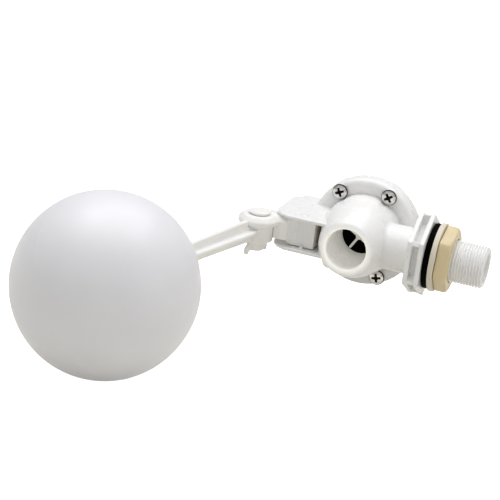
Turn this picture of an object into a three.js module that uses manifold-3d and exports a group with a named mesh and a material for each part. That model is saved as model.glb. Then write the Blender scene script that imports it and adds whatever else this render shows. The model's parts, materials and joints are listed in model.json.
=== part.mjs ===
// Float valve with a clamped float arm, in millimetres.
// The outlet axis is the Y axis and the outlet opens towards -Y. The origin is the centre of the flat
// pad on the back of the cover. The inlet shank runs towards +X and the float lever towards -X, and
// both hinges turn about +Z. The pieces are drawn with Y = 0 at the back of the cover flange, and the
// whole valve is then set back by the height of the pad.
import * as THREE from "three";
import { mergeVertices } from "three/addons/utils/BufferGeometryUtils.js";
import Module from "manifold-3d";

const wasm = await Module();
wasm.setup();

// ---- Driving dimensions -------------------------------------------------------------------
const GAP = 0.3; // clearance between neighbouring solids
const ROUND = 40; // facets round a large circle
const SMALL = 20; // facets round a small circle

const FLANGE_R = 34.9;
const FLANGE_FRONT = -12.3; // front face of the body flange
const FLANGE_EDGE_R = 4; // rounding of the front edge of the flange
const PARTING = -6; // where the body meets the rear cover
const PAD_HIGH = 9; // the pad on the back of the cover, above the back of its flange
const PAD_R = 7;
const DOME_R = 25;
const DOME_Y = -13; // centre of the dome
const DOME_LONG = 49.5; // half length of the dome if the outlet did not cut it off
const RING_R = 22; // dome of the water ring inside

const OUTLET_BORE = 12.65;
const OUTLET_MOUTH = -50.7;
const LIP = 0.8; // rounding of the mouth
const SEAT_BORE = 12.1;
const SEAT_R = 14.2;
const SEAT_Y = -16;

const SHANK_Y = -25.5; // axis of the inlet shank
const SHANK_R = 14.5;
const SHANK_BORE = 9;
const HEX_X = 36.8; // near face of the hexagon collar
const HEX_LONG = 9.9;
const HEX_R = 26.7; // to the corners
const HEX_PLATE = 2.9; // each of the two plates of the collar
const THREAD_R = 13.22; // G 3/4: 26.44 mm over the crests
const THREAD_END = 82.4;

const GASKET_LONG = 3.4;
const GASKET_R = 20.4;
const WASHER_LONG = 3.2;
const WASHER_R = 21.3;
const NUT_LONG = 8.3;
const NUT_R = 21.1; // to the corners
const NUT_TURN = -13; // degrees about the shank, as it was left after tightening

const SCREW_CIRCLE = 29.9;
const SCREW_ANGLES = [63.5, 127.5, -129, -63.5]; // degrees from +X towards +Z
const SCREW_R = 2.4;
const SCREW_HEAD_R = 4.8;
const SCREW_HEAD_LONG = 2.6;
const SCREW_NUT_R = 4.6;
const SCREW_NUT_LONG = 2.7;

const MEMBRANE_RIM = 27;
const CHAMBER_R = 21;
const LIFT = 2; // how far the main valve stands off its seat as drawn
const MOST_LIFT = 2.2; // further opening that is left; the spring is drawn at that length
const VANE_LONG = 6;
const VANE_R = 9.8;
const VANE_HALF = 0.75;
const STEM_R = 2.7;
const VANE_ANGLES = [59, 149]; // degrees from +X towards +Z

const CLEVIS_LEFT = -50;
const CLEVIS_FRONT = -43;
const CLEVIS_BACK = 2.2;
const CLEVIS_TOP = 11.4;
const CLEVIS_INSIDE = 9.3;
const PIVOT = new THREE.Vector3(-32, -37, 0);
const PIN_R = 2;
const NOZZLE_Y = -29;
const BLOCK_X = -19.6; // face of the pilot block, towards the lever
const NOZZLE_TIP = -20.7;
const NOZZLE_LONG = 4.4;

const LEVER_HALF = 8.7;
const LEVER_RIGHT = -23.3;
const LEVER_FRONT = -40;
const KNUCKLE = new THREE.Vector3(-59.5, -43.5, 0);
const CAP_R = 12.9;
const CAP_TOP = 8.5;
const CAP_CHAMFER = 2.9; // also along the front of the neck
const CAP_LOW = 3;
const HUB_R = 10; // clamped disc of the float arm
const HUB_LOW = -8.5;
const BOLT_R = 3;
const BOLT_HEAD_R = 7;
const BOLT_HEAD_TOP = 10.3;
const BOLT_END = -13.8;

const ARM_DROOP = 76.4; // degrees below the line of the lever
const ARM_TO_BALL = 148.2; // knuckle axis to the centre of the ball
const ARM_Z = -1.2; // height of the middle of the rod
const ROD_START = 13.4;
const BALL_R = 51.85;
const BALL_WALL = 2;
const SOCKET_R = 7;
const SOCKET_DEEP = 16;
const WEB = 3.2; // thickness of the two crossed webs of the rod
const WING_HUB_LONG = 6.4;
const WING_TURN = 69.6; // degrees from +X to the ears of the wing nut

// ---- Solids -------------------------------------------------------------------------------
// A closed three.js geometry as a manifold solid, facing out whichever way its profile ran.
function solid(geometry) {
  const bare = geometry.clone();
  bare.deleteAttribute("normal");
  bare.deleteAttribute("uv");
  const merged = mergeVertices(bare, 1e-4);
  const corners = [];
  const index = merged.index.array;
  for (let i = 0; i < index.length; i += 3) {
    const [a, b, c] = [index[i], index[i + 1], index[i + 2]];
    if (a !== b && b !== c && a !== c) corners.push(a, b, c);
  }
  const make = (triangles) =>
    new wasm.Manifold(
      new wasm.Mesh({
        numProp: 3,
        vertProperties: merged.attributes.position.array,
        triVerts: new Uint32Array(triangles),
      }),
    );
  const made = make(corners);
  if (made.volume() > 0) return made;
  for (let i = 0; i < corners.length; i += 3) {
    [corners[i + 1], corners[i + 2]] = [corners[i + 2], corners[i + 1]];
  }
  return make(corners);
}

const joined = (...solids) => solids.reduce((a, b) => a.add(b));
const cut = (first, ...rest) => rest.reduce((a, b) => a.subtract(b), first);

function geometryOf(made) {
  const mesh = made.getMesh();
  const places = new Float32Array(mesh.numVert * 3);
  for (let i = 0; i < mesh.numVert; i += 1) {
    const from = i * mesh.numProp;
    places.set(mesh.vertProperties.subarray(from, from + 3), i * 3);
  }
  const geometry = new THREE.BufferGeometry();
  geometry.setAttribute("position", new THREE.BufferAttribute(places, 3));
  geometry.setIndex(new THREE.BufferAttribute(mesh.triVerts, 1));
  geometry.computeVertexNormals();
  return geometry;
}

// A turned solid about the Y axis from [radius, y] pairs; a profile off the axis closes on itself.
function turned(profile, facets = ROUND) {
  const points = profile.map(([r, y]) => new THREE.Vector2(r, y));
  if (profile[0][0] > 0) points.push(points[0].clone());
  return new THREE.LatheGeometry(points, facets);
}

const alongX = (geometry) => geometry.rotateZ(-Math.PI / 2);
const alongZ = (geometry) => geometry.rotateX(Math.PI / 2);
const moved = (geometry, x, y, z) => geometry.translate(x, y, z);

// A cylinder from `from` to `to` on its own axis, then turned to lie along X, Y or Z.
function rod(radius, from, to, facets = SMALL) {
  const geometry = new THREE.CylinderGeometry(radius, radius, to - from, facets);
  return geometry.translate(0, (from + to) / 2, 0);
}

function block(x0, x1, y0, y1, z0, z1) {
  const geometry = new THREE.BoxGeometry(x1 - x0, y1 - y0, z1 - z0);
  return geometry.translate((x0 + x1) / 2, (y0 + y1) / 2, (z0 + z1) / 2);
}

// A flat outline in X and Y, raised from z0 to z1.
function plate(outline, z0, z1) {
  const shape = new THREE.Shape(outline.map(([x, y]) => new THREE.Vector2(x, y)));
  const options = { depth: z1 - z0, bevelEnabled: false, curveSegments: SMALL };
  return new THREE.ExtrudeGeometry(shape, options).translate(0, 0, z0);
}

// Points of an arc, in degrees, for a turned profile.
function arc(cr, cy, radius, from, to, steps) {
  const points = [];
  for (let i = 0; i <= steps; i += 1) {
    const angle = THREE.MathUtils.degToRad(from + ((to - from) * i) / steps);
    points.push([cr + radius * Math.cos(angle), cy + radius * Math.sin(angle)]);
  }
  return points;
}

// Where screw number i stands on the flange, in X and Z.
function screwPlace(i) {
  const angle = THREE.MathUtils.degToRad(SCREW_ANGLES[i]);
  return [SCREW_CIRCLE * Math.cos(angle), SCREW_CIRCLE * Math.sin(angle)];
}

const screwRod = (i, radius, from, to, facets = SMALL) => {
  const [x, z] = screwPlace(i);
  return solid(rod(radius, from, to, facets).translate(x, 0, z));
};
const eachScrew = (make) => SCREW_ANGLES.map((_, i) => make(i));

// ---- Valve body ---------------------------------------------------------------------------
// The dome is a long ellipsoid that narrows to the outlet.
const domeRadius = (y) => DOME_R * Math.sqrt(1 - ((y - DOME_Y) / DOME_LONG) ** 2);

function domeOutside() {
  const steps = 12;
  const side = [];
  for (let i = 0; i <= steps; i += 1) {
    const y = DOME_Y + ((OUTLET_MOUTH + LIP - DOME_Y) * i) / steps;
    side.push([domeRadius(y), y]);
  }
  const mouthR = domeRadius(OUTLET_MOUTH + LIP);
  return solid(
    turned([
      [0, PARTING],
      [FLANGE_R, PARTING],
      ...arc(FLANGE_R - FLANGE_EDGE_R, FLANGE_FRONT + FLANGE_EDGE_R, FLANGE_EDGE_R, 0, -90, 5),
      [DOME_R, FLANGE_FRONT],
      ...side,
      [mouthR - LIP, OUTLET_MOUTH],
      [0, OUTLET_MOUTH],
    ]),
  );
}

// The water ring round the seat tube, open to the cover side.
function waterRing() {
  const seatMeets = (Math.acos(SEAT_R / RING_R) * 180) / Math.PI;
  const ring = turned([
    [SEAT_R, PARTING + 1],
    [RING_R, PARTING + 1],
    ...arc(0, DOME_Y, RING_R, 0, -seatMeets, 7),
  ]);
  return solid(ring);
}

function hexCollar() {
  const hexagon = (radius, from, to) => solid(moved(alongX(rod(radius, from, to, 6)), 0, SHANK_Y, 0));
  const core = solid(moved(alongX(rod(HEX_R * 0.8, HEX_X, HEX_X + HEX_LONG, 6)), 0, SHANK_Y, 0));
  const ribs = [];
  for (let i = 0; i < 6; i += 1) {
    const rib = block(HEX_X, HEX_X + HEX_LONG, -1.6, 1.6, 0, HEX_R - 0.8);
    rib.rotateX((i * Math.PI) / 3);
    ribs.push(solid(rib.translate(0, SHANK_Y, 0)));
  }
  return joined(
    core,
    hexagon(HEX_R, HEX_X, HEX_X + HEX_PLATE),
    hexagon(HEX_R, HEX_X + HEX_LONG - HEX_PLATE, HEX_X + HEX_LONG),
    ...ribs,
  );
}

function inletShank() {
  const collarEnd = HEX_X + HEX_LONG;
  const tube = solid(moved(alongX(rod(SHANK_R, 14, HEX_X + 1, ROUND)), 0, SHANK_Y, 0));
  const thread = solid(
    moved(
      alongX(
        turned([
          [0, collarEnd - 1],
          [THREAD_R, collarEnd - 1],
          [THREAD_R, THREAD_END - 1.2],
          [THREAD_R - 1.2, THREAD_END],
          [0, THREAD_END],
        ]),
      ),
      0,
      SHANK_Y,
      0,
    ),
  );
  return joined(tube, hexCollar(), thread);
}

function clevis() {
  const outline = [
    [-16, CLEVIS_FRONT],
    [CLEVIS_LEFT + 9.5, CLEVIS_FRONT],
    [CLEVIS_LEFT + 5.4, CLEVIS_FRONT + 2.2],
    [CLEVIS_LEFT + 2, CLEVIS_FRONT + 6.5],
    [CLEVIS_LEFT, CLEVIS_FRONT + 13],
    [CLEVIS_LEFT, CLEVIS_BACK - 8],
    [CLEVIS_LEFT + 5.7, CLEVIS_BACK - 5.2],
    [CLEVIS_LEFT + 6.4, CLEVIS_BACK],
    [-30, CLEVIS_BACK],
    [-30, PARTING - 1],
    [-16, PARTING - 1],
  ];
  const upper = solid(plate(outline, CLEVIS_INSIDE, CLEVIS_TOP));
  const lower = solid(plate(outline, -CLEVIS_TOP, -CLEVIS_INSIDE));
  const pilotBlock = solid(block(BLOCK_X, -12, CLEVIS_FRONT + 0.8, -24, -CLEVIS_TOP, CLEVIS_TOP));
  const recess = solid(block(-28, BLOCK_X + 0.6, CLEVIS_FRONT, -20, -LEVER_HALF, LEVER_HALF));
  const peg = solid(moved(alongZ(rod(1.2, -CLEVIS_INSIDE - 1, -7.4, 12)), -30.5, -41.7, 0));
  const coverRoom = solid(rod(FLANGE_R + 0.6, PARTING, CLEVIS_BACK + 1, ROUND));
  return [cut(joined(upper, lower, pilotBlock, peg), coverRoom), recess];
}

function valveBody() {
  const [bracket, recess] = clevis();
  const pinHole = solid(moved(alongZ(rod(PIN_R + GAP, -14, 14)), PIVOT.x, PIVOT.y, 0));
  const screwHoles = eachScrew((i) => screwRod(i, SCREW_R + GAP, -20, 0));
  const towers = eachScrew((i) => screwRod(i, SCREW_HEAD_R + 0.1, FLANGE_FRONT - 0.1, PARTING - 1));
  const headRoom = eachScrew((i) => screwRod(i, SCREW_HEAD_R + 0.6, -24, FLANGE_FRONT));
  const outside = joined(cut(domeOutside(), recess), bracket, inletShank(), ...towers);
  const bore = solid(
    turned([
      [0, OUTLET_MOUTH - 1],
      [OUTLET_BORE + LIP, OUTLET_MOUTH - 0.01],
      [OUTLET_BORE, OUTLET_MOUTH + LIP],
      [SEAT_BORE, SEAT_Y - 1],
      [SEAT_BORE, PARTING + 1],
      [0, PARTING + 1],
    ]),
  );
  const overSeat = solid(rod(RING_R, SEAT_Y, PARTING + 1, ROUND));
  const rimGroove = solid(rod(MEMBRANE_RIM + GAP, PARTING - 1.8, PARTING + 1, ROUND));
  const inlet = solid(moved(alongX(rod(SHANK_BORE, SEAT_R + 1, THREAD_END + 1, 32)), 0, SHANK_Y, 0));
  const nozzleHole = solid(moved(alongX(rod(2.3, BLOCK_X - 1, NOZZLE_TIP + NOZZLE_LONG + GAP)), 0, NOZZLE_Y, 0));
  return cut(
    outside,
    waterRing(),
    bore,
    overSeat,
    rimGroove,
    cut(inlet, solid(rod(SEAT_R, -40, PARTING, ROUND))),
    nozzleHole,
    pinHole,
    ...screwHoles,
    ...headRoom,
  );
}

// ---- Cover, fasteners and the main valve inside -------------------------------------------
function rearCover() {
  const outside = solid(
    turned([
      [0, PARTING + GAP],
      [FLANGE_R, PARTING + GAP],
      [FLANGE_R, -1.2],
      [FLANGE_R - 1.2, 0],
      [CHAMBER_R + 3.5, 0],
      ...arc(CHAMBER_R - 2, 3, 5, 0, 90, 4),
      [0, 8],
    ]),
  );
  const chamber = solid(
    turned([
      [0, PARTING],
      [CHAMBER_R, PARTING],
      [CHAMBER_R, 3.5],
      [CHAMBER_R - 2, 5.5],
      [0, 5.5],
    ]),
  );
  const boss = solid(rod(PAD_R, 7, PAD_HIGH));
  const ribs = [0, Math.PI / 2].map((turn) => solid(block(-19, 19, 7, 8.5, -1.3, 1.3).rotateY(turn)));
  const rimGroove = solid(rod(MEMBRANE_RIM + GAP, PARTING, PARTING + 1.8, ROUND));
  const holes = eachScrew((i) => screwRod(i, SCREW_R + GAP, -10, 2));
  const pockets = eachScrew((i) => screwRod(i, SCREW_NUT_R + GAP, -SCREW_NUT_LONG, 2, 6));
  return cut(joined(outside, boss, ...ribs), chamber, rimGroove, ...holes, ...pockets);
}

function coverScrew(i) {
  const seat = FLANGE_FRONT - 0.1 - GAP;
  const top = seat - SCREW_HEAD_LONG;
  const head = solid(
    turned(
      [
        [0, seat],
        [SCREW_HEAD_R, seat],
        [SCREW_HEAD_R, top + 1.2],
        [SCREW_HEAD_R - 1.4, top + 0.2],
        [0, top],
      ],
      SMALL,
    ),
  );
  const recess = [0, Math.PI / 2].map((turn) =>
    solid(block(-2.4, 2.4, top - 1, top + 1.6, -0.55, 0.55).rotateY(turn + 0.5)),
  );
  const shank = solid(rod(SCREW_R, seat - 0.5, 0.6, 16));
  const [x, z] = screwPlace(i);
  return cut(joined(head, shank), ...recess).translate(x, 0, z);
}

function coverNut(i) {
  const nut = screwRod(i, SCREW_NUT_R, -SCREW_NUT_LONG + GAP, GAP, 6);
  return cut(nut, screwRod(i, SCREW_R + GAP, -5, 2, 16));
}

// The rolling ring of the diaphragm; its rim is held between body and cover.
function diaphragm() {
  const top = PARTING + 1.4;
  const low = PARTING - 1.4;
  return solid(
    turned(
      [
        [MEMBRANE_RIM, low],
        [MEMBRANE_RIM, top],
        [24, top],
        [23.4, PARTING + 0.7],
        [20.4, PARTING + 0.5],
        [18.3, PARTING + 1.6],
        [16.2, PARTING],
        [16.2, PARTING - 3],
        [17.4, PARTING - 3],
        [17.4, PARTING - 0.6],
        [18.3, PARTING + 0.2],
        [20, PARTING - 0.9],
        [23.4, PARTING - 0.7],
        [24, low],
      ],
      36,
    ),
  );
}

const discFront = SEAT_Y + LIFT;

function seatDisc() {
  return cut(solid(rod(13.8, discFront, discFront + 2.5, ROUND)), solid(rod(3, -20, 0)));
}

function backingPlate() {
  const from = discFront + 2.5 + GAP;
  return cut(solid(rod(15.4, from, from + 1.8, ROUND)), solid(rod(3, -20, 0)));
}

function vaneGuide() {
  const low = discFront - GAP;
  const front = low - 1.2 - VANE_LONG;
  const vanes = VANE_ANGLES.map((degrees) => {
    const vane = block(-VANE_R, VANE_R, front, low, -VANE_HALF, VANE_HALF);
    return solid(vane.rotateY(-THREE.MathUtils.degToRad(degrees)));
  });
  const hub = solid(rod(1.9, front, low));
  return joined(hub, ...vanes, solid(rod(STEM_R, low - 0.5, discFront + 9)));
}

function guideNut() {
  const from = discFront + 2.5 + 2 * GAP + 1.8;
  return cut(solid(rod(5.2, from, from + 3, 6)), solid(rod(3, -20, 10)));
}

class Helix extends THREE.Curve {
  constructor(radius, from, to, turns) {
    super();
    Object.assign(this, { radius, from, to, turns });
  }

  getPoint(t, target = new THREE.Vector3()) {
    const angle = 2 * Math.PI * this.turns * t;
    const y = this.from + (this.to - this.from) * t;
    return target.set(this.radius * Math.cos(angle), y, this.radius * Math.sin(angle));
  }
}

function closingSpring() {
  const wire = new THREE.Shape();
  wire.absarc(0, 0, 0.5, 0, 2 * Math.PI, false);
  const from = discFront + 2.5 + GAP + 1.8 + MOST_LIFT + 0.5 + GAP;
  const extrudePath = new Helix(8.5, from, 4.8, 3);
  return solid(new THREE.ExtrudeGeometry(wire, { steps: 56, curveSegments: 3, extrudePath }));
}

// ---- Inlet fittings -----------------------------------------------------------------------
const gasketFrom = HEX_X + HEX_LONG + GAP;
const washerFrom = gasketFrom + GASKET_LONG + GAP;
const nutFrom = washerFrom + WASHER_LONG + GAP;

// A ring on the shank, in place along X.
function shankRing(radius, from, long, facets = ROUND) {
  const whole = solid(moved(alongX(rod(radius, from, from + long, facets)), 0, SHANK_Y, 0));
  const hole = moved(alongX(rod(THREAD_R + GAP, from - 1, from + long + 1, ROUND)), 0, SHANK_Y, 0);
  return cut(whole, solid(hole));
}

// Drawn about the X axis and turned before it is set on the shank.
function mountingNut() {
  const end = nutFrom + NUT_LONG;
  const hexagon = alongX(rod(NUT_R, nutFrom, end, 6)).rotateX(THREE.MathUtils.degToRad(NUT_TURN));
  const rounding = turned([
    [0, nutFrom],
    [NUT_R - 0.3, nutFrom],
    [NUT_R - 0.3, end - 3],
    [NUT_R - 3.4, end],
    [0, end],
  ]);
  const hole = alongX(rod(THREAD_R + GAP, nutFrom - 1, end + 1, ROUND));
  const nut = cut(solid(hexagon).intersect(solid(alongX(rounding))), solid(hole));
  return nut.translate(0, SHANK_Y, 0);
}

// ---- Lever and float arm ------------------------------------------------------------------
const NECK_FRONT = -43.8;
const NECK_BACK = -31;
const NECK_END = -55; // hollowed round the disc of the float arm

// The corner that is taken off along the top front edge of the neck.
function neckChamfer() {
  const half = 6;
  const out = (half - CAP_CHAMFER / Math.SQRT2) / Math.SQRT2;
  const bar = block(-62, -38, -half, half, -half, half).rotateX(Math.PI / 4);
  return solid(bar.translate(0, NECK_FRONT - out, CAP_TOP + out));
}

// The lever is drawn in the frame of the valve and carried back to its own pivot.
function lever() {
  const pad = padBox();
  const clevisBlock = plate(
    [
      [LEVER_RIGHT, LEVER_FRONT],
      [LEVER_RIGHT, -27],
      [-32, -15],
      [-41.4, -15],
      [-41.4, LEVER_FRONT],
    ],
    -LEVER_HALF,
    LEVER_HALF,
  );
  const neck = plate(
    [
      [NECK_END, NECK_FRONT],
      [-41, NECK_FRONT],
      [-38, LEVER_FRONT],
      [-38, NECK_BACK],
      [NECK_END, NECK_BACK],
    ],
    -5.6,
    CAP_TOP,
  );
  const bridge = block(KNUCKLE.x, -46, NECK_FRONT, NECK_BACK, CAP_LOW, CAP_TOP);
  const cap = alongZ(turned([
    [0, CAP_TOP],
    [CAP_R - CAP_CHAMFER, CAP_TOP],
    [CAP_R, CAP_TOP - CAP_CHAMFER],
    [CAP_R, CAP_LOW],
    [0, CAP_LOW],
  ])).translate(KNUCKLE.x, KNUCKLE.y, 0);
  const hubRoom = alongZ(rod(HUB_R + 0.5, HUB_LOW - 1, CAP_LOW, ROUND)).translate(KNUCKLE.x, KNUCKLE.y, 0);
  const arm = joined(cut(solid(neck), solid(hubRoom)), solid(bridge));
  const whole = joined(solid(clevisBlock), cut(arm, neckChamfer()), solid(cap));
  const pivotHole = solid(alongZ(rod(PIN_R + GAP, -20, 20)).translate(PIVOT.x, PIVOT.y, 0));
  const boltHole = solid(alongZ(rod(BOLT_R + GAP, -20, 20)).translate(KNUCKLE.x, KNUCKLE.y, 0));
  const padRoom = solid(
    block(pad.x0 - GAP, LEVER_RIGHT + 1, pad.y0 - GAP, pad.y1 + GAP, pad.z0 - GAP, pad.z1 + GAP),
  );
  return cut(whole, pivotHole, boltHole, padRoom);
}

function padBox() {
  return { x0: -25.2, x1: LEVER_RIGHT + 0.3, y0: -34.5, y1: -27.6, z0: -6.5, z1: 6.5 };
}

function pilotPad() {
  const pad = padBox();
  return solid(block(pad.x0, pad.x1, pad.y0, pad.y1, pad.z0, pad.z1));
}

function pilotNozzle() {
  const body = turned([
    [0, NOZZLE_TIP + NOZZLE_LONG],
    [2, NOZZLE_TIP + NOZZLE_LONG],
    [2, NOZZLE_TIP + 0.6],
    [1.3, NOZZLE_TIP],
    [0, NOZZLE_TIP],
  ], 16);
  const bore = rod(0.6, NOZZLE_TIP - 1, NOZZLE_TIP + NOZZLE_LONG + 1, 12);
  return cut(
    solid(moved(alongX(body), 0, NOZZLE_Y, 0)),
    solid(moved(alongX(bore), 0, NOZZLE_Y, 0)),
  );
}

function clevisPin() {
  const half = CLEVIS_TOP - 0.2;
  const pin = turned([
    [0, half],
    [PIN_R - 0.4, half],
    [PIN_R, half - 0.4],
    [PIN_R, 0.4 - half],
    [PIN_R - 0.4, -half],
    [0, -half],
  ], SMALL);
  return solid(alongZ(pin));
}

function knuckleBolt() {
  const profile = turned([
    [0, BOLT_HEAD_TOP],
    [BOLT_HEAD_R - 0.4, BOLT_HEAD_TOP],
    [BOLT_HEAD_R, BOLT_HEAD_TOP - 0.4],
    [BOLT_HEAD_R, CAP_TOP + GAP],
    [BOLT_R, CAP_TOP + GAP],
    [BOLT_R, BOLT_END],
    [0, BOLT_END],
  ], SMALL);
  return solid(alongZ(profile));
}

function wingNut() {
  const top = HUB_LOW - GAP;
  const hub = solid(alongZ(turned([
    [0, top],
    [7, top],
    [5, top - WING_HUB_LONG],
    [0, top - WING_HUB_LONG],
  ], SMALL)));
  const wing = new THREE.Shape();
  wing.moveTo(3, -0.4);
  wing.lineTo(6.4, -0.6);
  wing.quadraticCurveTo(8, -2.4, 9.5, -3.4);
  wing.quadraticCurveTo(10.5, -4.2, 10.4, -6);
  wing.quadraticCurveTo(10.2, -8.5, 8.9, -8.5);
  wing.quadraticCurveTo(7.4, -8.3, 6.6, -6.6);
  wing.lineTo(3, -5.6);
  const ear = (turn) => {
    const flat = new THREE.ExtrudeGeometry(wing, { depth: 2.4, bevelEnabled: false, curveSegments: 4 });
    return solid(flat.translate(0, 0, -1.2).rotateX(Math.PI / 2).translate(0, 0, top).rotateZ(turn));
  };
  const bore = solid(alongZ(rod(BOLT_R + GAP, top - WING_HUB_LONG + 0.8, top + 1)));
  return cut(joined(hub, ear(0), ear(Math.PI)), bore);
}

// The float arm and the ball are drawn along +X from the knuckle axis.
const BALL_NEAR = ARM_TO_BALL - BALL_R; // where the ball begins

function floatArm() {
  const hub = solid(alongZ(rod(HUB_R, HUB_LOW, CAP_LOW - GAP, ROUND)));
  const flat = plate(
    [
      [6, -6],
      [14, -6.6],
      [BALL_NEAR - 4, -5.8],
      [BALL_NEAR - 4, 5.8],
      [14, 6.6],
      [6, 6],
    ],
    ARM_Z - WEB / 2,
    ARM_Z + WEB / 2,
  );
  const upright = plate(
    [
      [6, HUB_LOW],
      [14, ARM_Z - 7],
      [BALL_NEAR - 4, ARM_Z - 5.8],
      [BALL_NEAR - 4, ARM_Z + 6.2],
      [ROD_START + 1, ARM_Z + 8],
      [ROD_START, ARM_Z + 7],
      [ROD_START, CAP_LOW - GAP],
      [6, CAP_LOW - GAP],
    ],
    -WEB / 2,
    WEB / 2,
  );
  const collar = alongX(rod(6.8, BALL_NEAR - 6, BALL_NEAR - 0.6)).translate(0, 0, ARM_Z);
  const peg = alongX(rod(4, BALL_NEAR - 1, BALL_NEAR + SOCKET_DEEP - 2)).translate(0, 0, ARM_Z);
  const bore = solid(alongZ(rod(BOLT_R + GAP, -20, 20)));
  const whole = joined(hub, solid(flat), solid(upright.rotateX(Math.PI / 2)), solid(collar), solid(peg));
  return cut(whole, bore);
}

function floatBall() {
  const outside = solid(new THREE.SphereGeometry(BALL_R, 44, 22).translate(ARM_TO_BALL, 0, ARM_Z));
  const inside = new THREE.SphereGeometry(BALL_R - BALL_WALL, 28, 14).translate(ARM_TO_BALL, 0, ARM_Z);
  const deep = BALL_NEAR + SOCKET_DEEP;
  const socket = solid(alongX(rod(SOCKET_R, BALL_NEAR + 1, deep)).translate(0, 0, ARM_Z));
  const hole = solid(alongX(rod(4 + GAP, BALL_NEAR - 5, deep + 2)).translate(0, 0, ARM_Z));
  return cut(joined(cut(outside, solid(inside)), socket), hole);
}

// ---- Materials and assembly ---------------------------------------------------------------
const finish = (color, roughness, metalness = 0) =>
  new THREE.MeshStandardMaterial({ color, roughness, metalness });
const WHITE = finish(0xf1f1ef, 0.32);
const ARM_WHITE = finish(0xf2f0ea, 0.4);
const BALL_WHITE = finish(0xeceaf0, 0.38);
const CREAM = finish(0xe6d6ab, 0.38);
const PALE = finish(0xe9e4d8, 0.42);
const RUBBER = finish(0x141416, 0.6);
const BROWN_RUBBER = finish(0x3a2a22, 0.7);
const STEEL = finish(0xc9c8c6, 0.22, 1);
const BRASS = finish(0xc9a75a, 0.3, 1);

function part(name, made, material) {
  const mesh = new THREE.Mesh(geometryOf(made), material);
  mesh.name = name;
  return mesh;
}

const valve = new THREE.Group();
valve.position.y = -PAD_HIGH;
valve.add(
  part("valve_body", valveBody(), WHITE),
  part("rear_cover", rearCover(), WHITE),
  part("diaphragm", diaphragm(), RUBBER),
  part("seat_disc", seatDisc(), RUBBER),
  part("backing_plate", backingPlate(), WHITE),
  part("vane_guide", vaneGuide(), WHITE),
  part("guide_nut", guideNut(), STEEL),
  part("closing_spring", closingSpring(), STEEL),
  part("pilot_nozzle", pilotNozzle(), BRASS),
  part("inlet_gasket", shankRing(GASKET_R, gasketFrom, GASKET_LONG), RUBBER),
  part("inlet_washer", shankRing(WASHER_R, washerFrom, WASHER_LONG), PALE),
  part("mounting_nut", mountingNut(), CREAM),
);
SCREW_ANGLES.forEach((_, i) => {
  valve.add(part(`cover_screw_${i + 1}`, coverScrew(i), STEEL));
  valve.add(part(`cover_nut_${i + 1}`, coverNut(i), STEEL));
});

// Everything on the lever turns about the clevis pin.
const leverGroup = new THREE.Group();
leverGroup.position.copy(PIVOT);
const backToPivot = (made) => made.translate(-PIVOT.x, -PIVOT.y, 0);
leverGroup.add(
  part("clevis_pin", clevisPin(), ARM_WHITE),
  part("lever", backToPivot(lever()), ARM_WHITE),
  part("pilot_pad", backToPivot(pilotPad()), BROWN_RUBBER),
);

// The knuckle holds the arm at the chosen droop.
const knuckleGroup = new THREE.Group();
knuckleGroup.position.copy(KNUCKLE).sub(PIVOT);
knuckleGroup.add(part("knuckle_bolt", knuckleBolt(), ARM_WHITE));
const nut = part("wing_nut", wingNut(), ARM_WHITE);
nut.rotation.z = THREE.MathUtils.degToRad(WING_TURN);
const armGroup = new THREE.Group();
armGroup.rotation.z = Math.PI + THREE.MathUtils.degToRad(ARM_DROOP);
armGroup.add(part("float_arm", floatArm(), ARM_WHITE), part("float_ball", floatBall(), BALL_WHITE));
knuckleGroup.add(nut, armGroup);
leverGroup.add(knuckleGroup);
valve.add(leverGroup);

export default valve;
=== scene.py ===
"""Float valve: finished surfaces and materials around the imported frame.

Moulded pieces are drawn as distance fields in millimetres and skinned to a mesh, so that every edge is
rounded and every joint between two shapes has its fillet. Turned pieces are profiles swept round an axis.
"""
import json
import math

import bpy
import numpy as np
from mathutils import Matrix, Vector


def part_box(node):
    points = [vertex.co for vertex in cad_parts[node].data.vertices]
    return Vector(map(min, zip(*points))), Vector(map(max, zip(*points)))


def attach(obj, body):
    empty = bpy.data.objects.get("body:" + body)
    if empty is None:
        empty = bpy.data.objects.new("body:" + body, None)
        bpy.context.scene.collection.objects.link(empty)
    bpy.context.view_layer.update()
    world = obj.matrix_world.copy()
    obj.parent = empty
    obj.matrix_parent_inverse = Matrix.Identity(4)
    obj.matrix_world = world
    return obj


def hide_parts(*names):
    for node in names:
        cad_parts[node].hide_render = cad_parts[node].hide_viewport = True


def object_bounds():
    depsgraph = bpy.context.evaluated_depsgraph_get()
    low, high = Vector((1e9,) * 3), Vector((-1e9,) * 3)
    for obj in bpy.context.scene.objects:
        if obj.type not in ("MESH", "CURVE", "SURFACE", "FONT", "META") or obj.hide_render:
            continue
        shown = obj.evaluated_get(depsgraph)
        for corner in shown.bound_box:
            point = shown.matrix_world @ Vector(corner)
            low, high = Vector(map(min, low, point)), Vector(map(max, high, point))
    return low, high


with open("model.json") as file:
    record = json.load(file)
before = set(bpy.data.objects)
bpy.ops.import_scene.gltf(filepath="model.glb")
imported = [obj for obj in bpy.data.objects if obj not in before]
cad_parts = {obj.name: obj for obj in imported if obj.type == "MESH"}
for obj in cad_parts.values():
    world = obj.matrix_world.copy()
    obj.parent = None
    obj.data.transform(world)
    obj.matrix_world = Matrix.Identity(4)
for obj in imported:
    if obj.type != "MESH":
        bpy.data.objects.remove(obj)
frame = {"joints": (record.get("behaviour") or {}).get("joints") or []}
cad_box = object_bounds()

MM = 0.001
X, Y, Z = 0, 1, 2
COARSE = 1.0


# ---- Places taken from the frame, in millimetres ----
def span(node):
    """Lowest and highest corner of a CAD node."""
    low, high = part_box(node)
    return np.array(low) / MM, np.array(high) / MM


def middle(node):
    low, high = span(node)
    return (low + high) / 2


def pivot_of(joint_name):
    joint = next(j for j in frame["joints"] if j["name"] == joint_name)
    return np.array(joint["pos_m"]) / MM


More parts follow.
